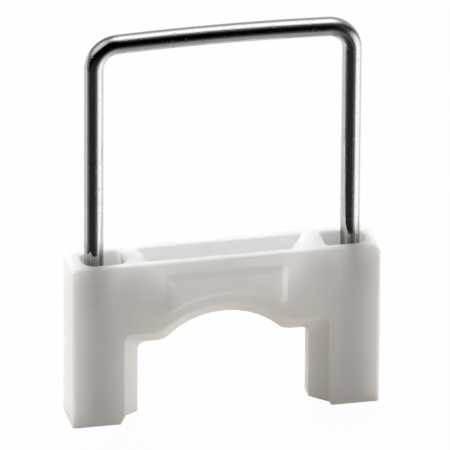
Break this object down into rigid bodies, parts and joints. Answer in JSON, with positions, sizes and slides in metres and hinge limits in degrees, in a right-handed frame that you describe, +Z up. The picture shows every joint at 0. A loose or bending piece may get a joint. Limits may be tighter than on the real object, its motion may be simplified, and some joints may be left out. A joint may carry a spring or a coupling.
{
  "type": "cable staple",
  "caption": "Moulded saddle with an arched cable passage and a bent steel wire staple standing in its top, driven down to fix a flat cable to timber.",
  "frame": {"origin": "middle of the saddle's length and thickness, in the plane of its feet", "axes": "+X along the saddle from leg to leg, +Y through its thickness along the cable, +Z up from the feet to the wire crown"},
  "size_m": [0.0326, 0.0062, 0.0436],
  "materials": {
    "saddle_polyethylene": "moulded, satin, slightly milky white",
    "staple_wire": "bright zinc-plated drawn wire"
  },
  "bodies": {
    "saddle_body": {"saddle": "saddle_polyethylene"},
    "staple_body": {"wire_staple": "staple_wire"}
  },
  "joints": [
    {"name": "staple_drive", "type": "slide", "parent": "saddle_body", "child": "staple_body", "axis": [0, 0, -1], "range_m": [0, 0.023]}
  ]
}
